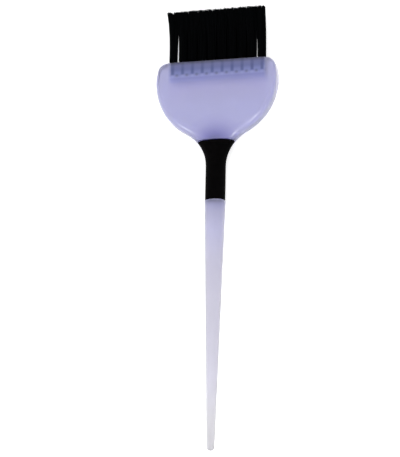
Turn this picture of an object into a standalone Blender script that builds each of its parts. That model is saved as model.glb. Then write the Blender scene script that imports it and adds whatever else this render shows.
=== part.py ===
"""Tint brush: a lilac handle moulding, a soft black grip, and two rows of anchored bristle tufts.

The brush lies on its back with its length along Y. The bristles point to +Y, X is its width, and the
flat back of the head rests on z = 0. Units are metres.
"""

import math

import bmesh
import bpy

# Driving dimensions, seen from the front.
LENGTH = 0.220
BRISTLE_LENGTH = 0.0265
HEAD_RADIUS = 0.030
HEAD_CENTRE_TO_END = 0.0106
HEAD_CORNER_RADIUS = 0.005
FLARE_RADIUS = 0.020
NECK_HALF_WIDTH = 0.00505
TIP_HALF_WIDTH = 0.0018
GRIP_LENGTH = 0.0306
GRIP_TO_HEAD_END = 0.0411

# Driving dimensions, seen from the side. The head, the neck and the top of the tail are equally thick.
HALF_HEIGHT = 0.0043
TIP_HALF_HEIGHT = 0.0016

# Rounded edges of the head: broad round its lower sides, tighter beside the bristles.
SIDE_EDGE_RADIUS = 0.0031
TOP_EDGE_RADIUS = 0.0016
EDGE_CHANGE_START = 0.061
EDGE_CHANGE_END = 0.077
LIP_RADIUS = 0.0008
STEEPEST_EDGE = 2.0

# The grip is moulded into a recess of the handle.
GAP = 0.0003
GRIP_SINK = 0.00015
GRIP_THICKNESS = 0.0011
GRIP_ROUNDING = 0.0003

# Bristle tufts: the back row fills the gaps of the front row, apart from the gap at each end.
FRONT_TUFTS = 10
BACK_TUFTS = 7
TUFT_PITCH = 0.00495
ROW_OFFSET = 0.0016
HOLE_RADIUS = 0.0014
HOLE_DEPTH = 0.0056
DRILL_POINT = 0.0009
TUFT_SPREAD_HEIGHT = 0.0100
TUFT_HALF_THICKNESS = 0.00145
TUFT_EDGE_RADIUS = 0.0005
OUTER_TUFT_LEAN = 0.0009

# The flat wire that each tuft is folded over, pressed across the bottom of its hole.
ANCHOR_LENGTH = 0.0034
ANCHOR_HEIGHT = 0.0016
ANCHOR_THICKNESS = 0.00035
ANCHOR_ABOVE_HOLE_BOTTOM = 0.0011
ANCHOR_BEVEL = 0.00006

# Fineness of the curved surfaces.
CORNER_STEPS = 8
ROUND_STEPS = 5
TUFT_STEPS = 2
MERGE_DISTANCE = 0.00002

# Places along the brush that follow from the dimensions.
TIP_Y = -LENGTH / 2
BRISTLE_END_Y = LENGTH / 2
HEAD_END_Y = BRISTLE_END_Y - BRISTLE_LENGTH
HEAD_CENTRE_Y = HEAD_END_Y - HEAD_CENTRE_TO_END
GRIP_END_Y = HEAD_END_Y - GRIP_TO_HEAD_END
GRIP_START_Y = GRIP_END_Y - GRIP_LENGTH
HOLE_BOTTOM_Y = HEAD_END_Y - HOLE_DEPTH
ANCHOR_Y = HOLE_BOTTOM_Y + ANCHOR_ABOVE_HOLE_BOTTOM + ANCHOR_HEIGHT / 2

# The flare is an arc that touches the neck's straight side and the head's circle.
FLARE_CENTRE_X = NECK_HALF_WIDTH + FLARE_RADIUS
FLARE_START_Y = HEAD_CENTRE_Y - math.sqrt((HEAD_RADIUS + FLARE_RADIUS) ** 2 - FLARE_CENTRE_X**2)
FLARE_SHARE = HEAD_RADIUS / (HEAD_RADIUS + FLARE_RADIUS)
FLARE_END_Y = HEAD_CENTRE_Y - (HEAD_CENTRE_Y - FLARE_START_Y) * FLARE_SHARE
OVAL_END_Y = FLARE_START_Y + 0.004
PLATE_START_Y = FLARE_END_Y + 0.010

# The corner is an arc that touches the head's circle from inside, and the end face.
CORNER_CENTRE_Y = HEAD_END_Y - HEAD_CORNER_RADIUS
CORNER_REACH = HEAD_RADIUS - HEAD_CORNER_RADIUS
CORNER_CENTRE_X = math.sqrt(CORNER_REACH**2 - (CORNER_CENTRE_Y - HEAD_CENTRE_Y) ** 2)
CORNER_START_Y = HEAD_CENTRE_Y + (CORNER_CENTRE_Y - HEAD_CENTRE_Y) * HEAD_RADIUS / CORNER_REACH


def ramp(value, start, end):
    """0 before start, 1 after end, and a smooth rise between them."""
    share = min(max((value - start) / (end - start), 0.0), 1.0)
    return share * share * (3 - 2 * share)


def mix(first, second, share):
    return first + (second - first) * share


def spaced(start, end, count):
    """count + 1 evenly spaced values."""
    return [mix(start, end, i / count) for i in range(count + 1)]


def half_chord(radius, distance):
    return math.sqrt(max(radius * radius - distance * distance, 0.0))


def tail_share(y):
    """0 at the tip and 1 where the tail meets the grip."""
    return (y - TIP_Y) / (GRIP_START_Y - TIP_Y)


def half_width(y):
    if y > CORNER_START_Y:
        return CORNER_CENTRE_X + half_chord(HEAD_CORNER_RADIUS, y - CORNER_CENTRE_Y)
    if y > FLARE_END_Y:
        return half_chord(HEAD_RADIUS, y - HEAD_CENTRE_Y)
    if y > FLARE_START_Y:
        return FLARE_CENTRE_X - half_chord(FLARE_RADIUS, y - FLARE_START_Y)
    if y > GRIP_START_Y:
        return NECK_HALF_WIDTH
    tapered = mix(TIP_HALF_WIDTH, NECK_HALF_WIDTH, tail_share(y))
    from_round_centre = max(TIP_Y + TIP_HALF_WIDTH - y, 0.0)
    return tapered * half_chord(1.0, from_round_centre / TIP_HALF_WIDTH)


def half_height(y):
    if y > HEAD_END_Y - LIP_RADIUS:
        past_flat = y - (HEAD_END_Y - LIP_RADIUS)
        return HALF_HEIGHT - LIP_RADIUS + half_chord(LIP_RADIUS, past_flat)
    if y > GRIP_START_Y:
        return HALF_HEIGHT
    tapered = mix(TIP_HALF_HEIGHT, HALF_HEIGHT, tail_share(y))
    from_round_centre = max(TIP_Y + TIP_HALF_WIDTH - y, 0.0)
    return tapered * half_chord(1.0, from_round_centre / TIP_HALF_WIDTH)


def edge_radius(y):
    return mix(SIDE_EDGE_RADIUS, TOP_EDGE_RADIUS, ramp(y, EDGE_CHANGE_START, EDGE_CHANGE_END))


def edge_width(y):
    """How far the rounded edge reaches in along X, so that it is as wide square to the outline."""
    step = 0.0002
    slope = (half_width(y + step) - half_width(y - step)) / (2 * step)
    return edge_radius(y) * math.sqrt(1 + min(abs(slope), STEEPEST_EDGE) ** 2)


def ring(y, half_x, half_z, corner_x, corner_z, steps, centre_x=0.0, centre_z=HALF_HEIGHT):
    """Points of a rounded rectangle at y. With corners as large as the half sizes it is an ellipse."""
    points = []
    for quadrant in range(4):
        side_x = (1, -1, -1, 1)[quadrant]
        side_z = (1, 1, -1, -1)[quadrant]
        for i in range(steps + 1):
            angle = math.radians(90 * (quadrant + i / steps))
            x = side_x * (half_x - corner_x) + corner_x * math.cos(angle)
            z = side_z * (half_z - corner_z) + corner_z * math.sin(angle)
            points.append((centre_x + x, y, centre_z + z))
    return points


def body_ring(y, inset=0.0):
    """The moulding's section: an oval along the tail and neck, a flat plate with round edges in the head."""
    width = half_width(y)
    height = half_height(y)
    flatness = ramp(y, OVAL_END_Y, PLATE_START_Y)
    corner_x = mix(width, min(edge_width(y), width), flatness)
    corner_z = mix(height, min(edge_radius(y), height), flatness)
    return ring(y, width - inset, height - inset, corner_x - inset, corner_z - inset, CORNER_STEPS)


def loft(rings, closed=False):
    """A mesh through the rings in turn. It is capped at both ends, or joined end to start."""
    bm = bmesh.new()
    rows = [[bm.verts.new(point) for point in points] for points in rings]
    pairs = list(zip(rows, rows[1:]))
    if closed:
        pairs.append((rows[-1], rows[0]))
    else:
        bm.faces.new(rows[0])
        bm.faces.new(rows[-1])
    for first, second in pairs:
        for i in range(len(first)):
            j = (i + 1) % len(first)
            bm.faces.new((first[i], first[j], second[j], second[i]))
    bmesh.ops.remove_doubles(bm, verts=bm.verts, dist=MERGE_DISTANCE)
    bmesh.ops.recalc_face_normals(bm, faces=bm.faces)
    mesh = bpy.data.meshes.new("loft")
    bm.to_mesh(mesh)
    bm.free()
    return mesh


def finish_piece(name, mesh, material, collection, sharp_degrees=35):
    piece = bpy.data.objects.new(name, mesh)
    mesh.name = name
    mesh.materials.append(material)
    mesh.shade_smooth()
    mesh.set_sharp_from_angle(angle=math.radians(sharp_degrees))
    collection.objects.link(piece)
    return piece


def cutter_piece(name, mesh, collection):
    cutter = bpy.data.objects.new(name, mesh)
    cutter.hide_render = True
    cutter.display_type = "WIRE"
    collection.objects.link(cutter)
    return cutter


def cut(piece, operand, name):
    """Takes an object, or every object of a collection, away from the piece."""
    modifier = piece.modifiers.new(name, "BOOLEAN")
    modifier.operation = "DIFFERENCE"
    modifier.solver = "EXACT"
    if isinstance(operand, bpy.types.Collection):
        modifier.operand_type = "COLLECTION"
        modifier.collection = operand
    else:
        modifier.object = operand


def principled(name, colour, roughness, metallic=0.0):
    material = bpy.data.materials.new(name)
    material.use_nodes = True
    shader = material.node_tree.nodes["Principled BSDF"]
    shader.inputs["Base Color"].default_value = (*colour, 1.0)
    shader.inputs["Roughness"].default_value = roughness
    shader.inputs["Metallic"].default_value = metallic
    return material


def lilac_plastic():
    return principled("lilac_plastic", (0.43, 0.44, 0.68), 0.35)


def black_soft_touch():
    return principled("black_soft_touch", (0.012, 0.012, 0.013), 0.65)


def black_nylon():
    return principled("black_nylon", (0.006, 0.006, 0.008), 0.4)


def steel_wire():
    return principled("steel_wire", (0.58, 0.58, 0.57), 0.3, 1.0)


def new_collection(name):
    collection = bpy.data.collections.new(name)
    bpy.context.scene.collection.children.link(collection)
    return collection


def tail_stations():
    """Places of the rings from the rounded tip to the shoulder under the grip."""
    tip = [TIP_Y + TIP_HALF_WIDTH * (1 - math.cos(math.radians(a))) for a in spaced(12, 78, ROUND_STEPS)]
    return tip + spaced(TIP_Y + TIP_HALF_WIDTH, GRIP_START_Y, 6)


def head_stations():
    """Places of the rings from the shoulder above the grip to the end face."""
    flare = spaced(GRIP_END_Y, FLARE_END_Y, 5)
    sides = spaced(FLARE_END_Y, CORNER_START_Y, 20)
    first_angle = math.degrees(math.asin((CORNER_START_Y - CORNER_CENTRE_Y) / HEAD_CORNER_RADIUS))
    corner_angles = spaced(first_angle, 90, 7)
    corner = [CORNER_CENTRE_Y + HEAD_CORNER_RADIUS * math.sin(math.radians(a)) for a in corner_angles]
    return flare + sides[1:] + corner[1:]


def grip_stations():
    """Places of the rings between the grip's ends: few along the neck, more round the flare."""
    start = GRIP_START_Y + GAP
    end = GRIP_END_Y - GAP
    return spaced(start + GRIP_ROUNDING, FLARE_START_Y, 3) + spaced(FLARE_START_Y, end - GRIP_ROUNDING, 9)[1:]


def make_handle(collection, holes, wire_slots):
    """Head, neck and tail in one moulding, recessed for the grip and drilled for the tufts."""
    recess = GRIP_SINK + GRIP_THICKNESS + GAP
    rings = [body_ring(y) for y in tail_stations()]
    neck = [GRIP_START_Y] + grip_stations() + [GRIP_END_Y]
    rings += [body_ring(y, recess) for y in neck]
    rings += [body_ring(y) for y in head_stations()]
    handle = finish_piece("handle", loft(rings), lilac_plastic(), collection)
    cut(handle, holes, "tuft_holes")
    cut(handle, wire_slots, "anchor_slots")
    return handle


def make_grip(collection):
    """A soft sleeve with rounded end edges, moulded round the neck and the start of the flare."""
    start = GRIP_START_Y + GAP
    end = GRIP_END_Y - GAP
    inside = GRIP_SINK + GRIP_THICKNESS
    outer = [body_ring(start, GRIP_SINK + GRIP_ROUNDING)]
    outer += [body_ring(y, GRIP_SINK) for y in grip_stations()]
    outer += [body_ring(end, GRIP_SINK + GRIP_ROUNDING)]
    inner = [body_ring(y, inside) for y in [end] + grip_stations()[::-1] + [start]]
    return finish_piece("soft_grip", loft(outer + inner, closed=True), black_soft_touch(), collection)


def tuft_places():
    """(name, x, z, lean) of each tuft. The outermost ones of the front row lean outwards."""
    places = []
    rows = (("front", FRONT_TUFTS, ROW_OFFSET), ("back", BACK_TUFTS, -ROW_OFFSET))
    for row, count, offset in rows:
        for i in range(count):
            from_middle = i - (count - 1) / 2
            x = from_middle * TUFT_PITCH
            at_end = row == "front" and i in (0, count - 1)
            lean = math.copysign(OUTER_TUFT_LEAN, from_middle) if at_end else 0.0
            places.append((f"{row}_{i + 1:02d}", x, HALF_HEIGHT + offset, lean))
    return places


def round_ring(y, radius, x, z, steps):
    return ring(y, radius, radius, radius, radius, steps, x, z)


def hole_cutter(name, x, z, collection):
    """A drilled hole with a conical bottom, longer than it needs to be at its mouth."""
    rings = [
        round_ring(HOLE_BOTTOM_Y - DRILL_POINT, HOLE_RADIUS * 0.1, x, z, ROUND_STEPS),
        round_ring(HOLE_BOTTOM_Y, HOLE_RADIUS, x, z, ROUND_STEPS),
        round_ring(HEAD_END_Y + HOLE_RADIUS, HOLE_RADIUS, x, z, ROUND_STEPS),
    ]
    return cutter_piece(name, loft(rings), collection)


def box_mesh(size_x, size_y, size_z, x, y, z):
    bm = bmesh.new()
    bmesh.ops.create_cube(bm, size=1.0)
    bmesh.ops.scale(bm, vec=(size_x, size_y, size_z), verts=bm.verts)
    bmesh.ops.translate(bm, vec=(x, y, z), verts=bm.verts)
    mesh = bpy.data.meshes.new("box")
    bm.to_mesh(mesh)
    bm.free()
    return mesh


def slot_cutter(name, x, z, collection):
    """The space round an anchor: it crosses the tuft and notches the hole's two sides."""
    room = 2 * GAP
    mesh = box_mesh(ANCHOR_LENGTH + room, ANCHOR_HEIGHT + room, ANCHOR_THICKNESS + room, x, ANCHOR_Y, z)
    return cutter_piece(name, mesh, collection)


def make_anchor(name, x, z, material, collection):
    mesh = box_mesh(ANCHOR_LENGTH, ANCHOR_HEIGHT, ANCHOR_THICKNESS, x, ANCHOR_Y, z)
    anchor = finish_piece(name, mesh, material, collection)
    bevel = anchor.modifiers.new("stamped_edges", "BEVEL")
    bevel.width = ANCHOR_BEVEL
    bevel.segments = 1
    return anchor


def make_tuft(name, x, z, lean, slot, material, collection):
    """A bundle folded over its anchor: round in its hole, spreading to fill its share of the row."""
    shank = HOLE_RADIUS - GAP
    half_x = (TUFT_PITCH - GAP) / 2
    half_z = TUFT_HALF_THICKNESS
    rounded = TUFT_EDGE_RADIUS
    bottom = HOLE_BOTTOM_Y + GAP / 2
    spread_y = HEAD_END_Y + TUFT_SPREAD_HEIGHT
    lean_at_spread = lean * TUFT_SPREAD_HEIGHT / BRISTLE_LENGTH
    rings = [
        round_ring(bottom, shank * 0.55, x, z, TUFT_STEPS),
        round_ring(bottom + shank * 0.35, shank, x, z, TUFT_STEPS),
        round_ring(HEAD_END_Y + GAP, shank, x, z, TUFT_STEPS),
        ring(spread_y, half_x, half_z, rounded, rounded, TUFT_STEPS, x + lean_at_spread, z),
        ring(BRISTLE_END_Y, half_x, half_z, rounded, rounded, TUFT_STEPS, x + lean, z),
    ]
    tuft = finish_piece(name, loft(rings), material, collection)
    cut(tuft, slot, "anchor_slot")
    return tuft


def clear_scene():
    for old in list(bpy.data.objects):
        bpy.data.objects.remove(old, do_unlink=True)


def main():
    clear_scene()
    brush = new_collection("tint_brush")
    holes = new_collection("hole_cutters")
    wire_slots = new_collection("slot_cutters")
    nylon = black_nylon()
    steel = steel_wire()
    for place, x, z, lean in tuft_places():
        hole_cutter(f"hole_{place}", x, z, holes)
        slot = slot_cutter(f"slot_{place}", x, z, wire_slots)
        make_tuft(f"tuft_{place}", x, z, lean, slot, nylon, brush)
        make_anchor(f"anchor_{place}", x, z, steel, brush)
    make_handle(brush, holes, wire_slots)
    make_grip(brush)


main()
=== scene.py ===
"""Looks of the tint brush: frosted lilac plastic, a soft black grip and two rows of cut nylon bristles.

Everything is in the CAD frame, in metres. The brush lies on its back, with its bristles to +Y.
"""

import math

import bmesh
import bpy
import numpy as np
from mathutils import Matrix, Vector


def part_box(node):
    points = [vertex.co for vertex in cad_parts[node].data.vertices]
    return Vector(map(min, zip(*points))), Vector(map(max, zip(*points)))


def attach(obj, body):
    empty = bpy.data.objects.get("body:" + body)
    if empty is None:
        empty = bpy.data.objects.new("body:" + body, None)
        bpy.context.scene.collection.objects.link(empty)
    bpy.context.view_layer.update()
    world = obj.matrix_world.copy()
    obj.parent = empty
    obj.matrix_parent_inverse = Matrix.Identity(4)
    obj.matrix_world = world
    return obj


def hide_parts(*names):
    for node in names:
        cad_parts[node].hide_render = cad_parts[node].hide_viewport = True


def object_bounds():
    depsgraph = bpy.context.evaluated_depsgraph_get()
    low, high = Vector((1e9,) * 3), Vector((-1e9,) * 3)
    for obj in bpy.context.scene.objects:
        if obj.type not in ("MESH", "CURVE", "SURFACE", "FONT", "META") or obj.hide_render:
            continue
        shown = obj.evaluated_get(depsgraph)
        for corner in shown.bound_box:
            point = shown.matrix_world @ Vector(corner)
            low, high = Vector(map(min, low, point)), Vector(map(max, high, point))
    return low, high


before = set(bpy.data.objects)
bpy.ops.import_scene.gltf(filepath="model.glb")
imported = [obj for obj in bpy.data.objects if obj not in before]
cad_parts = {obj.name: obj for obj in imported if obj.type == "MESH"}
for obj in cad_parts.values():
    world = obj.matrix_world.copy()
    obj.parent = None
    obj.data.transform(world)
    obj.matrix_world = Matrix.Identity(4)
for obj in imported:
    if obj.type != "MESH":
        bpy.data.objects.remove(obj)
cad_low, cad_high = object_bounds()

SEED = 20261116

# Camera: it looks from the tail's end and a little from the right, with a long lens.
CAMERA_TURN = math.radians(13.4)
CAMERA_TILT = math.radians(-18.0)
CAMERA_ROLL = math.radians(1.21)
CAMERA_DISTANCE = 1.1
LENS_MM = 207.1
SENSOR_MM = 36.0
CLIP_START = 0.01
AIM = Vector((-0.00717, -0.00145, 0.0043))

# Light: an even white studio and two small softboxes over a white floor that glows a little.
WORLD_STRENGTH = 1.0
SOFTBOX_SIZE = 0.20
SOFTBOX_WATTS = 1.1
LEFT_SOFTBOX = (-0.66, -0.42, 0.50)
RIGHT_SOFTBOX = (0.46, -0.38, 0.70)
FLOOR_GLOW = 0.5
FLOOR_GAP = 0.0003
FLOOR_HALF_WIDTH = 3.0

# Meshes: corners this near are one corner, and edges sharper than these angles stay sharp.
WELD_DISTANCE = 2e-6
FLAT_ANGLE = math.radians(0.2)
MOULDED_SHARP_ANGLE = math.radians(38)
FILAMENT_SHARP_ANGLE = math.radians(80)

# Bristles. A strand is one filament folded over the anchor, so it has two cut ends. The shares are of
# the height from the head's face to the cut end.
STRANDS = 80
GOLDEN_SECTION = 0.618034
FILAMENT_RADIUS = 0.00011
FILAMENT_SIDES = 5
ROOT_RADIUS = 0.00126
MOUTH_RADIUS = 0.00185
MOUTH_HEIGHT = 0.0010
SPREAD_HEIGHT = 0.0230
LEG_SHARES = (0.14, 0.3, 0.53, 0.78, 1.0)
SPLAY = 0.0004
CELL_HALF_Z = 0.00140
LEFT_END_LEAN = -0.0015
RIGHT_END_LEAN = -0.0009
WANDER = 0.00013

# A strand's place in its hole, in radians and in hole radii, and its fold under the anchor.
ARC_MARGIN = 0.12
PLACE_JITTER = 0.12
CLEAR_OF_ANCHOR = 0.24
ROOT_ABOVE_ANCHOR_LOW = 0.0004
FOLD_DEPTH = 0.00018
FOLD_DEPTH_PER_RADIUS = 0.0004
FOLD_SHOULDER_RISE = 0.4
FOLD_SHOULDER_SPAN = 0.8

# The cut ends make a slightly slanted line, uneven in small clumps and from filament to filament.
CUT_OVER = 0.0011
CUT_RAGGEDNESS = 0.00042
CUT_SLANT = 0.006
CUT_RIPPLE = 0.00026
RIPPLE_LENGTH = 0.00042
RIPPLE_CLUMP = 0.0012
RIPPLE_PHASE = 1.0

# The two end gaps of the front row stay open near the head, and the right one is the narrower. SIDE is
# how far the inner tuft reaches into its gap at the cut end, where the end tuft fills the rest. BULGE is
# how much further the tuft on the gap's left stands out at its hole's mouth, and SECOND_TUFT_INSET how
# much less the second tuft does on the left gap's side.
LEFT_GAP_SIDE = 0.00165
RIGHT_GAP_SIDE = 0.00215
LEFT_GAP_BULGE = 0.00040
RIGHT_GAP_BULGE = 0.00032
SECOND_TUFT_INSET = 0.00025
LEFT_END_REACH = 0.00145
RIGHT_END_REACH = 0.00168

# The walls of the tuft holes lie within these margins of the anchors' boxes.
HOLES_BESIDE_ANCHORS = 0.0008
HOLES_UNDER_ANCHORS = 0.003
HOLES_ROUND_ANCHORS = 0.0018
FACE_SKIN = 0.00005

# The tufts and the shade they cast in the milky plastic are painted into its colour as painted shade:
# soft streaks over the tufts, with a dark dot between them just under the holes. Streak and dot widths
# and places along the row are in pitches. Shades are (height above the hole bottoms, colour that the
# plastic's own colour is multiplied by).
ANCHOR_ABOVE_HOLE_BOTTOM = 0.0011
STREAK_SHIFT = 0.00075
STREAK_CORE = 0.05
STREAK_EDGE = 0.24
DOT_PLACE = 0.44
DOT_DROP = 0.0016
DOT_CORE = 0.06
DOT_EDGE = 0.23
PAINTED_DOT_SHADE = 0.64
ROW_SHADE_END = 0.16
ROW_SHADE_FADED = 0.50
MILKY_FROM = -0.0060
MILKIEST_FROM = -0.0010
WHITE = (1.0, 1.0, 1.0)
PAINTED_SHADE_UNDER_HOLES = [
    (-0.0180, WHITE),
    (-0.0120, (0.975, 0.960, 0.965)),
    (-0.0080, (0.955, 0.930, 0.955)),
    (-0.0060, (0.950, 0.930, 0.990)),
    (-0.0046, (0.730, 0.750, 0.930)),
    (-0.0033, (0.550, 0.570, 0.800)),
]
PAINTED_STREAK_SHADES = [
    (-0.0023, (0.720, 0.760, 0.900)),
    (-0.0017, (0.570, 0.605, 0.780)),
    (-0.0010, (0.250, 0.290, 0.490)),
    (-0.0006, (0.180, 0.220, 0.415)),
    (0.0014, (0.157, 0.192, 0.378)),
    (0.0035, (0.215, 0.235, 0.390)),
    (0.0046, (0.130, 0.140, 0.200)),
    (0.0056, (0.030, 0.030, 0.050)),
]
PAINTED_SHADE_BETWEEN_STREAKS = [
    (-0.0025, (0.640, 0.670, 0.840)),
    (-0.0012, (0.400, 0.450, 0.640)),
    (-0.0002, (0.390, 0.445, 0.645)),
    (0.0014, (0.270, 0.315, 0.505)),
    (0.0035, (0.285, 0.315, 0.470)),
    (0.0046, (0.170, 0.175, 0.260)),
    (0.0056, (0.030, 0.030, 0.050)),
]

# Painted shade: the plastic round the black sleeve's upper end is painted darker, as the sleeve takes light
# out of it. The shades are by the distance from a point on the brush's middle line, this far inside the
# sleeve.
GRIP_SHADE_INSET = 0.0024
PAINTED_GRIP_SHADES = [
    (0.0035, (0.37, 0.37, 0.54)),
    (0.0055, (0.50, 0.49, 0.75)),
    (0.0080, (0.68, 0.67, 0.84)),
    (0.0118, (0.90, 0.89, 0.945)),
    (0.0160, WHITE),
]

# Colours along Y, from the tail to the bristles. The lilac holds painted light and shade: the thin tail
# is painted paler, as more light comes through it, with a darker tip, and the plastic is painted darker
# where it meets the sleeve.
LILAC_AND_PAINTED_LIGHT_ALONG = [
    (cad_low.y, (0.635, 0.625, 0.66)),
    (-0.096, (0.74, 0.735, 0.77)),
    (-0.076, (0.735, 0.725, 0.815)),
    (-0.040, (0.70, 0.69, 0.79)),
    (-0.018, (0.70, 0.69, 0.82)),
    (-0.004, (0.675, 0.675, 0.87)),
    (0.0055, (0.595, 0.595, 0.79)),
    (0.0085, (0.54, 0.54, 0.775)),
    (0.011, (0.45, 0.45, 0.71)),
    (0.014, (0.605, 0.615, 0.895)),
    (0.084, (0.615, 0.620, 0.905)),
]
STEEL_ALONG = [(0.07, (0.50, 0.50, 0.50)), (0.084, (0.53, 0.53, 0.52))]
NYLON_ALONG = [(0.07, (0.0007, 0.0009, 0.0013)), (0.111, (0.0009, 0.0011, 0.0015))]
GRIP_BLACK = (0.0012, 0.0010, 0.0011)

# Noise is stretched along a filament or an anchor. Most of its values lie between NOISE_LOW and
# NOISE_HIGH.
ALONG_THE_BRISTLES = (1.0, 0.05, 1.0)
ALONG_THE_WIRE = (0.05, 1.0, 1.0)
NOISE_LOW = 0.3
NOISE_HIGH = 0.7


def spread_share(height):
    """How far a filament has moved from its hole to its place in the row, all the way at SPREAD_HEIGHT."""
    share = min(max(height / SPREAD_HEIGHT, 0.0), 1.0)
    return share * share


def disc_to_square(x, z):
    """A point of the unit disc moved to the unit square, keeping neighbours beside each other."""
    reach = math.hypot(x, z)
    longest = max(abs(x), abs(z), 1e-9)
    return x * reach / longest, z * reach / longest


def cut_ripple(x):
    """How far the cut ends stand up or down in small clumps along the row."""
    return CUT_RIPPLE * math.sin(x / RIPPLE_LENGTH) * math.sin(x / RIPPLE_CLUMP + RIPPLE_PHASE)


def half_path(root, mouth, tip, face_y, wander):
    """One leg of a strand: up its hole, a quick bulge at the hole's mouth, then up to its cut end."""
    free = tip[1] - face_y
    points = [root, (root[0], face_y, root[2])]
    for share in (MOUTH_HEIGHT / free, *LEG_SHARES):
        height = share * free
        spread = spread_share(height - MOUTH_HEIGHT)
        x = mouth[0] + (tip[0] - mouth[0]) * spread + wander[0] * share**3
        z = mouth[1] + (tip[2] - mouth[1]) * spread + wander[1] * share**3
        points.append((x, face_y + height, z))
    return points


def strand_path(rng, tuft, strand):
    """A filament that runs down one side of the anchor, under it, and up the other side.

    The strands are packed at golden-section steps round the hole, so that they fill it evenly.
    """
    radius = math.sqrt((strand + 0.5) / STRANDS)
    angle = ARC_MARGIN + (math.pi - 2 * ARC_MARGIN) * (strand * GOLDEN_SECTION % 1.0)
    root_y = tuft["anchor_low"] + ROOT_ABOVE_ANCHOR_LOW
    legs = []
    for side in (1, -1):
        x = radius * math.cos(angle) + rng.uniform(-PLACE_JITTER, PLACE_JITTER)
        z = side * max(radius * math.sin(angle), CLEAR_OF_ANCHOR)
        inward = min(1.0, 1.0 / math.hypot(x, z))
        x *= inward
        z *= inward
        square_x, square_z = disc_to_square(x, z)
        root = (tuft["x"] + x * ROOT_RADIUS, root_y, tuft["z"] + z * ROOT_RADIUS)
        to_right = int(square_x > 0)
        mouth = (tuft["x"] + square_x * tuft["mouth"][to_right], tuft["z"] + z * MOUTH_RADIUS)
        tip_x = tuft["x"] + square_x * tuft["reach"][to_right]
        cut = tuft["cut_y"] + cut_ripple(tip_x) - CUT_RAGGEDNESS * rng.uniform(0.0, 1.0)
        tip = (tip_x, cut, tuft["z"] + square_z * CELL_HALF_Z)
        wander = (tuft["lean"] + square_x * SPLAY + rng.normal(0.0, WANDER), rng.normal(0.0, WANDER))
        legs.append(half_path(root, mouth, tip, tuft["face_y"], wander))
    return np.array(legs[0][::-1] + fold(legs[0][0], legs[1][0], radius, tuft) + legs[1])


def fold(first, second, radius, tuft):
    """The turn under the anchor from one leg's root to the other's. The outer strands turn lower."""
    depth = FOLD_DEPTH + FOLD_DEPTH_PER_RADIUS * radius
    low_y = tuft["anchor_low"] - depth
    shoulder_y = low_y + FOLD_SHOULDER_RISE * depth
    middle_z = tuft["z"]
    return [
        (first[0], shoulder_y, middle_z + FOLD_SHOULDER_SPAN * (first[2] - middle_z)),
        ((first[0] + second[0]) / 2, low_y, middle_z),
        (second[0], shoulder_y, middle_z + FOLD_SHOULDER_SPAN * (second[2] - middle_z)),
    ]


def tube_rings(path, radius):
    """Rings of points round the path. No path runs along X, so X gives each ring its direction."""
    ahead = np.gradient(path, axis=0)
    ahead /= np.linalg.norm(ahead, axis=1)[:, None]
    across = np.cross(ahead, (1.0, 0.0, 0.0))
    across /= np.linalg.norm(across, axis=1)[:, None]
    beside = np.cross(ahead, across)
    angles = np.linspace(0.0, 2 * math.pi, FILAMENT_SIDES, endpoint=False)
    outward = np.cos(angles)[None, :, None] * across[:, None]
    outward = outward + np.sin(angles)[None, :, None] * beside[:, None]
    return path[:, None] + radius * outward


def tube_faces(rings, first):
    """Side faces and two end caps of a tube whose first vertex has the index first."""
    sides = FILAMENT_SIDES
    faces = []
    for row in range(rings - 1):
        for i in range(sides):
            a = first + row * sides + i
            b = first + row * sides + (i + 1) % sides
            faces.append((a, b, b + sides, a + sides))
    last = first + (rings - 1) * sides
    faces.append(tuple(first + i for i in reversed(range(sides))))
    faces.append(tuple(last + i for i in range(sides)))
    return faces


def tuft_mesh(name, tuft, seed):
    """All the filaments of one tuft in one mesh."""
    rng = np.random.default_rng(seed)
    points = []
    faces = []
    for strand in range(STRANDS):
        path = strand_path(rng, tuft, strand)
        rings = tube_rings(path, FILAMENT_RADIUS * rng.uniform(0.9, 1.1))
        faces += tube_faces(len(path), len(points))
        points += [tuple(p) for p in rings.reshape(-1, 3)]
    mesh = bpy.data.meshes.new(name)
    mesh.from_pydata(points, [], faces)
    mesh.validate()
    mesh.shade_smooth()
    mesh.set_sharp_from_angle(angle=FILAMENT_SHARP_ANGLE)
    return mesh


def row_middles(row):
    """The anchors' middles in a row, from left to right, as {number: point}."""
    middles = {}
    for node in sorted(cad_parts):
        if node.startswith("anchor_" + row):
            low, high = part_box(node)
            middles[int(node[-2:])] = (low + high) / 2
    return middles


def tuft_facts(row, number, middles):
    """Where a tuft is held and cut, and how far it reaches to its left and right once it has spread."""
    last = len(middles)
    middle = middles[number]
    pitch = middles[2].x - middles[1].x
    left_reach = right_reach = pitch / 2
    left_mouth = right_mouth = MOUTH_RADIUS
    if row == "front":
        left_reaches = {1: LEFT_END_REACH, 2: LEFT_GAP_SIDE, last: pitch - RIGHT_GAP_SIDE}
        right_reaches = {1: pitch - LEFT_GAP_SIDE, last - 1: RIGHT_GAP_SIDE, last: RIGHT_END_REACH}
        left_mouths = {1: LEFT_END_REACH, 2: MOUTH_RADIUS - SECOND_TUFT_INSET}
        right_mouths = {1: MOUTH_RADIUS + LEFT_GAP_BULGE, last - 1: MOUTH_RADIUS + RIGHT_GAP_BULGE}
        left_reach = left_reaches.get(number, left_reach)
        right_reach = right_reaches.get(number, right_reach)
        left_mouth = left_mouths.get(number, left_mouth)
        right_mouth = right_mouths.get(number, right_mouth)
    slant = CUT_SLANT * (middles[last].x - middle.x)
    from_left = (middle.x - cad_low.x) / (cad_high.x - cad_low.x)
    place = f"{row}_{number:02d}"
    return {
        "x": middle.x,
        "z": middle.z,
        "anchor_low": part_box("anchor_" + place)[0].y,
        "face_y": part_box("handle")[1].y,
        "cut_y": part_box("tuft_" + place)[1].y + CUT_OVER - slant,
        "reach": (left_reach, right_reach),
        "mouth": (left_mouth, right_mouth),
        "lean": LEFT_END_LEAN + (RIGHT_END_LEAN - LEFT_END_LEAN) * from_left,
    }


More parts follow.
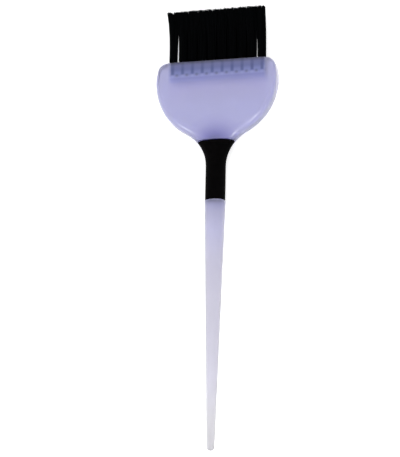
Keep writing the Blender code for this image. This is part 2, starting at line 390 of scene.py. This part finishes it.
def make_bristles(material):
    for row in ("front", "back"):
        middles = row_middles(row)
        for number in middles:
            place = f"{row}_{number:02d}"
            seed = [SEED, number, row == "front"]
            mesh = tuft_mesh("bristles_" + place, tuft_facts(row, number, middles), seed)
            mesh.materials.append(material)
            bristles = bpy.data.objects.new("bristles_" + place, mesh)
            bpy.context.scene.collection.objects.link(bristles)
            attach(bristles, "root")
            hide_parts("tuft_" + place)


def moulded_copy(node, name, material):
    """The CAD solid with its corners welded and its curved faces shaded as the smooth surfaces they are."""
    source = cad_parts[node]
    bm = bmesh.new()
    bm.from_mesh(source.data)
    bmesh.ops.remove_doubles(bm, verts=bm.verts, dist=WELD_DISTANCE)
    bmesh.ops.dissolve_limit(bm, angle_limit=FLAT_ANGLE, verts=bm.verts, edges=bm.edges)
    corners = [tuple(v.co) for v in bm.verts]
    bm.verts.index_update()
    faces = [tuple(v.index for v in f.verts) for f in bm.faces]
    bm.free()
    mesh = bpy.data.meshes.new(name)
    mesh.from_pydata(corners, [], faces)
    mesh.shade_smooth()
    mesh.set_sharp_from_angle(angle=MOULDED_SHARP_ANGLE)
    mesh.materials.append(material)
    piece = bpy.data.objects.new(name, mesh)
    bpy.context.scene.collection.objects.link(piece)
    weighted = piece.modifiers.new("flat_faces_stay_flat", "WEIGHTED_NORMAL")
    weighted.mode = "FACE_AREA"
    weighted.keep_sharp = True
    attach(piece, "root")
    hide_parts(node)


def new_material(name):
    """A material with only a Principled shader: (material, node tree, shader)."""
    material = bpy.data.materials.new(name)
    material.use_nodes = True
    tree = material.node_tree
    return material, tree, tree.nodes["Principled BSDF"]


def noise(tree, scale, detail=3.0, stretch=(1.0, 1.0, 1.0)):
    """Noise over the piece, in its own coordinates. scale is in features per metre."""
    coordinates = tree.nodes.new("ShaderNodeTexCoord")
    mapping = tree.nodes.new("ShaderNodeMapping")
    mapping.inputs["Scale"].default_value = stretch
    texture = tree.nodes.new("ShaderNodeTexNoise")
    texture.inputs["Scale"].default_value = scale
    texture.inputs["Detail"].default_value = detail
    tree.links.new(coordinates.outputs["Object"], mapping.inputs["Vector"])
    tree.links.new(mapping.outputs["Vector"], texture.inputs["Vector"])
    return texture.outputs["Fac"]


def remapped(tree, value, low, high, to_low, to_high):
    """The value's range from low to high stretched to the range from to_low to to_high."""
    node = tree.nodes.new("ShaderNodeMapRange")
    node.inputs["From Min"].default_value = low
    node.inputs["From Max"].default_value = high
    node.inputs["To Min"].default_value = to_low
    node.inputs["To Max"].default_value = to_high
    tree.links.new(value, node.inputs["Value"])
    return node.outputs["Result"]


def from_noise(tree, fac, low, high):
    """Noise that runs from about low to about high."""
    return remapped(tree, fac, NOISE_LOW, NOISE_HIGH, low, high)


def bumped(tree, shader, height, strength, distance):
    bump = tree.nodes.new("ShaderNodeBump")
    bump.inputs["Strength"].default_value = strength
    bump.inputs["Distance"].default_value = distance
    tree.links.new(height, bump.inputs["Height"])
    tree.links.new(bump.outputs["Normal"], shader.inputs["Normal"])


def math_node(tree, operation, *values):
    node = tree.nodes.new("ShaderNodeMath")
    node.operation = operation
    for socket, value in zip(node.inputs, values):
        if isinstance(value, (int, float)):
            socket.default_value = value
        else:
            tree.links.new(value, socket)
    return node.outputs["Value"]


def object_xyz(tree):
    coordinates = tree.nodes.new("ShaderNodeTexCoord")
    split = tree.nodes.new("ShaderNodeSeparateXYZ")
    tree.links.new(coordinates.outputs["Object"], split.inputs["Vector"])
    return split.outputs["X"], split.outputs["Y"], split.outputs["Z"]


def ramp(tree, value, stops):
    """A colour that changes with a value. stops are (value, colour)."""
    low = stops[0][0]
    high = stops[-1][0]
    node = tree.nodes.new("ShaderNodeValToRGB")
    elements = node.color_ramp.elements
    while len(elements) < len(stops):
        elements.new(0.5)
    for element, (place, colour) in zip(elements, stops):
        element.position = (place - low) / (high - low)
        element.color = (*colour, 1.0)
    tree.links.new(remapped(tree, value, low, high, 0.0, 1.0), node.inputs["Fac"])
    return node.outputs["Color"]


def times(tree, first, second):
    node = tree.nodes.new("ShaderNodeVectorMath")
    node.operation = "MULTIPLY"
    tree.links.new(first, node.inputs[0])
    tree.links.new(second, node.inputs[1])
    return node.outputs["Vector"]


def varied_by(tree, colour, gain):
    multiply = tree.nodes.new("ShaderNodeVectorMath")
    multiply.operation = "SCALE"
    if isinstance(colour, tuple):
        multiply.inputs[0].default_value = colour
    else:
        tree.links.new(colour, multiply.inputs[0])
    tree.links.new(gain, multiply.inputs["Scale"])
    return multiply.outputs["Vector"]


def varied(tree, colour, fac, low, high):
    """The colour made a little darker and lighter from place to place."""
    return varied_by(tree, colour, from_noise(tree, fac, low, high))


def between(tree, value, low, high):
    """1 where the value lies between low and high, else 0."""
    return math_node(tree, "COMPARE", value, (low + high) / 2, (high - low) / 2)


def squared(tree, value):
    return math_node(tree, "MULTIPLY", value, value)


def distance(tree, across, along):
    """How far a place lies from a point, from its two steps to it."""
    squares = math_node(tree, "ADD", squared(tree, across), squared(tree, along))
    return math_node(tree, "SQRT", squares)


def in_the_holes(tree, x, y, z):
    """1 on the smooth walls of the tuft holes, and 0 on the outer skin."""
    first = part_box("anchor_front_01")
    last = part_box("anchor_front_10")
    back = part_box("anchor_back_01")
    face_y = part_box("handle")[1].y
    side = between(tree, x, first[0].x - HOLES_BESIDE_ANCHORS, last[1].x + HOLES_BESIDE_ANCHORS)
    length = between(tree, y, first[0].y - HOLES_UNDER_ANCHORS, face_y - FACE_SKIN)
    depth = between(tree, z, back[0].z - HOLES_ROUND_ANCHORS, first[1].z + HOLES_ROUND_ANCHORS)
    return math_node(tree, "MULTIPLY", math_node(tree, "MULTIPLY", side, length), depth)


def painted_grip_shade(tree, x, y):
    """Painted shade round the black sleeve, where it takes light out of the milky plastic."""
    from_grip = math_node(tree, "SUBTRACT", y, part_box("soft_grip")[1].y - GRIP_SHADE_INSET)
    # Painted shade: the plastic is darker the nearer it lies to the sleeve.
    return ramp(tree, distance(tree, x, from_grip), PAINTED_GRIP_SHADES)


def mixed(tree, share, first, second):
    """The first colour where share is 0, the second where it is 1."""
    mix = tree.nodes.new("ShaderNodeMix")
    mix.data_type = "RGBA"
    sockets = [i for i in mix.inputs if i.type == "RGBA"]
    tree.links.new(share, mix.inputs["Factor"])
    for socket, colour in zip(sockets, (first, second)):
        if isinstance(colour, tuple):
            socket.default_value = (*colour, 1.0)
        else:
            tree.links.new(colour, socket)
    return [o for o in mix.outputs if o.type == "RGBA"][0]


def hole_bottom_y():
    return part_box("anchor_front_01")[0].y - ANCHOR_ABOVE_HOLE_BOTTOM


def front_pitch():
    middles = row_middles("front")
    return middles[2].x - middles[1].x


def tufts_along(tree, x):
    """How many pitches x lies from the streak of the first tuft, and how many outside the row."""
    middles = row_middles("front")
    from_first = math_node(tree, "SUBTRACT", x, middles[1].x + STREAK_SHIFT)
    along = math_node(tree, "DIVIDE", from_first, front_pitch())
    before = math_node(tree, "MULTIPLY", along, -1.0)
    after = math_node(tree, "SUBTRACT", along, len(middles) - 1.0)
    return along, math_node(tree, "MAXIMUM", before, after)


def beside_the_row(tree, outside):
    """0 as far as the end tufts reach, and 1 where their shade has faded."""
    return remapped(tree, outside, ROW_SHADE_END, ROW_SHADE_FADED, 0.0, 1.0)


def painted_tuft_shade(tree, x, y):
    """Painted shade of the tufts in the milky plastic: streaks and dots, and under their holes a shade that
    clears.
    """
    along, outside = tufts_along(tree, x)
    above_holes = math_node(tree, "SUBTRACT", y, hole_bottom_y())
    streak_painted_shade = ramp(tree, above_holes, PAINTED_SHADE_UNDER_HOLES + PAINTED_STREAK_SHADES)
    between_painted_shade = ramp(tree, above_holes, PAINTED_SHADE_UNDER_HOLES + PAINTED_SHADE_BETWEEN_STREAKS)
    from_streak = math_node(tree, "PINGPONG", along, 0.5)
    streak = remapped(tree, from_streak, STREAK_CORE, STREAK_EDGE, 1.0, 0.0)
    shade = mixed(tree, streak, between_painted_shade, streak_painted_shade)
    from_dot = math_node(tree, "PINGPONG", math_node(tree, "SUBTRACT", along, DOT_PLACE), 0.5)
    above_dot = math_node(tree, "DIVIDE", math_node(tree, "ADD", above_holes, DOT_DROP), front_pitch())
    dot = remapped(tree, distance(tree, from_dot, above_dot), DOT_CORE, DOT_EDGE, PAINTED_DOT_SHADE, 1.0)
    return mixed(tree, beside_the_row(tree, outside), varied_by(tree, shade, dot), WHITE)


def milkiness_of_the_band(tree, x, y):
    """1 over the tuft holes, where the plastic is thin and scatters most, and 0 well away from them."""
    above_holes = math_node(tree, "SUBTRACT", y, hole_bottom_y())
    over_the_holes = remapped(tree, above_holes, MILKY_FROM, MILKIEST_FROM, 0.0, 1.0)
    inside = math_node(tree, "SUBTRACT", 1.0, beside_the_row(tree, tufts_along(tree, x)[1]))
    return math_node(tree, "MULTIPLY", inside, over_the_holes)


def frosted_lilac():
    """Milky polypropylene with a satin mould finish. Thin stretches are painted paler, and painted shade
    darkens it round the sleeve and the tufts.
    """
    material, tree, shader = new_material("frosted_lilac")
    x, y, z = object_xyz(tree)
    # Painted light and shade: the lilac is paler along the thin tail and darker round the sleeve.
    colour = times(tree, ramp(tree, y, LILAC_AND_PAINTED_LIGHT_ALONG), painted_grip_shade(tree, x, y))
    # Painted shade of the tufts, multiplied into the plastic's colour.
    colour = times(tree, colour, painted_tuft_shade(tree, x, y))
    colour = varied(tree, colour, noise(tree, scale=90.0), low=0.98, high=1.02)
    tree.links.new(colour, shader.inputs["Base Color"])
    holes = in_the_holes(tree, x, y, z)
    milkiness = milkiness_of_the_band(tree, x, y)
    skin_clearness = remapped(tree, milkiness, 0.0, 1.0, to_low=0.75, to_high=0.35)
    clearness = math_node(tree, "MAXIMUM", skin_clearness, holes)
    tree.links.new(clearness, shader.inputs["Transmission Weight"])
    shader.inputs["Subsurface Weight"].default_value = 1.0
    shader.inputs["Subsurface Radius"].default_value = (1.0, 1.0, 1.0)
    shader.inputs["Subsurface Scale"].default_value = 0.002
    shader.inputs["IOR"].default_value = 1.49
    shader.inputs["Specular IOR Level"].default_value = 0.1
    shader.inputs["Coat Weight"].default_value = 0.8
    shader.inputs["Coat Roughness"].default_value = 0.14
    skin_roughness = from_noise(tree, noise(tree, scale=260.0), low=0.30, high=0.36)
    polish = remapped(tree, holes, 0.0, 1.0, to_low=1.0, to_high=0.15)
    roughness = math_node(tree, "MULTIPLY", skin_roughness, polish)
    tree.links.new(roughness, shader.inputs["Roughness"])
    bumped(tree, shader, noise(tree, scale=5200.0), strength=0.12, distance=0.00003)
    absorb = tree.nodes.new("ShaderNodeVolumeAbsorption")
    absorb.inputs["Color"].default_value = (0.60, 0.58, 0.62, 1.0)
    absorb.inputs["Density"].default_value = 60.0
    tree.links.new(absorb.outputs["Volume"], tree.nodes["Material Output"].inputs["Volume"])
    return material


def soft_touch_black():
    """A dull black elastomer with a fine grain."""
    material, tree, shader = new_material("soft_touch_black")
    colour = varied(tree, GRIP_BLACK, noise(tree, scale=420.0), low=0.6, high=1.4)
    tree.links.new(colour, shader.inputs["Base Color"])
    shader.inputs["Specular IOR Level"].default_value = 0.015
    roughness = from_noise(tree, noise(tree, scale=900.0), low=0.50, high=0.68)
    tree.links.new(roughness, shader.inputs["Roughness"])
    grain = noise(tree, scale=7000.0, detail=2.0)
    bumped(tree, shader, grain, strength=0.35, distance=0.00005)
    return material


def black_nylon():
    """Dull black filaments, each a little different from its neighbours."""
    material, tree, shader = new_material("black_nylon")
    base = ramp(tree, object_xyz(tree)[1], NYLON_ALONG)
    strands = noise(tree, scale=1500.0, detail=2.0, stretch=ALONG_THE_BRISTLES)
    colour = varied(tree, base, strands, low=0.5, high=1.6)
    tree.links.new(colour, shader.inputs["Base Color"])
    shader.inputs["Specular IOR Level"].default_value = 0.02
    roughness = from_noise(tree, strands, low=0.38, high=0.55)
    tree.links.new(roughness, shader.inputs["Roughness"])
    return material


def drawn_steel():
    """Flat wire with fine drawing marks along it."""
    material, tree, shader = new_material("drawn_steel")
    base = ramp(tree, object_xyz(tree)[1], STEEL_ALONG)
    colour = varied(tree, base, noise(tree, scale=900.0), low=0.85, high=1.1)
    tree.links.new(colour, shader.inputs["Base Color"])
    shader.inputs["Metallic"].default_value = 1.0
    marks = noise(tree, scale=1800.0, detail=2.0, stretch=ALONG_THE_WIRE)
    roughness = from_noise(tree, marks, low=0.25, high=0.42)
    tree.links.new(roughness, shader.inputs["Roughness"])
    return material


def white_floor():
    """A flat white floor a hair under the brush, so that the plastic has air under it."""
    material, tree, shader = new_material("white_floor")
    shader.inputs["Base Color"].default_value = (0.85, 0.85, 0.85, 1.0)
    shader.inputs["Roughness"].default_value = 0.9
    shader.inputs["Specular IOR Level"].default_value = 0.1
    shader.inputs["Emission Color"].default_value = (1.0, 1.0, 1.0, 1.0)
    shader.inputs["Emission Strength"].default_value = FLOOR_GLOW
    mesh = bpy.data.meshes.new("floor")
    sides = ((-1, -1), (1, -1), (1, 1), (-1, 1))
    corners = [(x * FLOOR_HALF_WIDTH, y * FLOOR_HALF_WIDTH, -FLOOR_GAP) for x, y in sides]
    mesh.from_pydata(corners, [], [(0, 1, 2, 3)])
    mesh.materials.append(material)
    floor = bpy.data.objects.new("floor", mesh)
    bpy.context.scene.collection.objects.link(floor)


def softbox(name, place):
    """A square lamp that faces the brush."""
    data = bpy.data.lights.new(name, "AREA")
    data.shape = "SQUARE"
    data.size = SOFTBOX_SIZE
    data.energy = SOFTBOX_WATTS
    light = bpy.data.objects.new(name, data)
    light.location = place
    light.rotation_euler = (AIM - Vector(place)).to_track_quat("-Z", "Y").to_euler()
    bpy.context.scene.collection.objects.link(light)


def studio():
    world = bpy.data.worlds.new("soft_studio")
    world.use_nodes = True
    background = world.node_tree.nodes["Background"]
    background.inputs["Color"].default_value = (1.0, 1.0, 1.0, 1.0)
    background.inputs["Strength"].default_value = WORLD_STRENGTH
    bpy.context.scene.world = world
    softbox("left_softbox", LEFT_SOFTBOX)
    softbox("right_softbox", RIGHT_SOFTBOX)
    bpy.context.scene.view_settings.view_transform = "Standard"


def place_camera():
    towards = Vector((
        math.sin(CAMERA_TURN) * math.cos(CAMERA_TILT),
        math.sin(CAMERA_TILT),
        math.cos(CAMERA_TURN) * math.cos(CAMERA_TILT),
    ))
    level = Vector((math.cos(CAMERA_TURN), 0.0, -math.sin(CAMERA_TURN)))
    upright = towards.cross(level)
    right = math.cos(CAMERA_ROLL) * level + math.sin(CAMERA_ROLL) * upright
    up = towards.cross(right)
    data = bpy.data.cameras.new("camera")
    data.lens = LENS_MM
    data.sensor_fit = "HORIZONTAL"
    data.sensor_width = SENSOR_MM
    data.clip_start = CLIP_START
    camera = bpy.data.objects.new("camera", data)
    place = AIM + CAMERA_DISTANCE * towards
    camera.matrix_world = Matrix((
        (right.x, up.x, towards.x, place.x),
        (right.y, up.y, towards.y, place.y),
        (right.z, up.z, towards.z, place.z),
        (0.0, 0.0, 0.0, 1.0),
    ))
    bpy.context.scene.collection.objects.link(camera)
    bpy.context.scene.camera = camera


place_camera()
studio()
white_floor()
moulded_copy("handle", "handle_moulding", frosted_lilac())
moulded_copy("soft_grip", "grip_sleeve", soft_touch_black())
make_bristles(black_nylon())
steel = drawn_steel()
for node, cad_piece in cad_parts.items():
    if node.startswith("anchor_"):
        cad_piece.data.materials[0] = steel
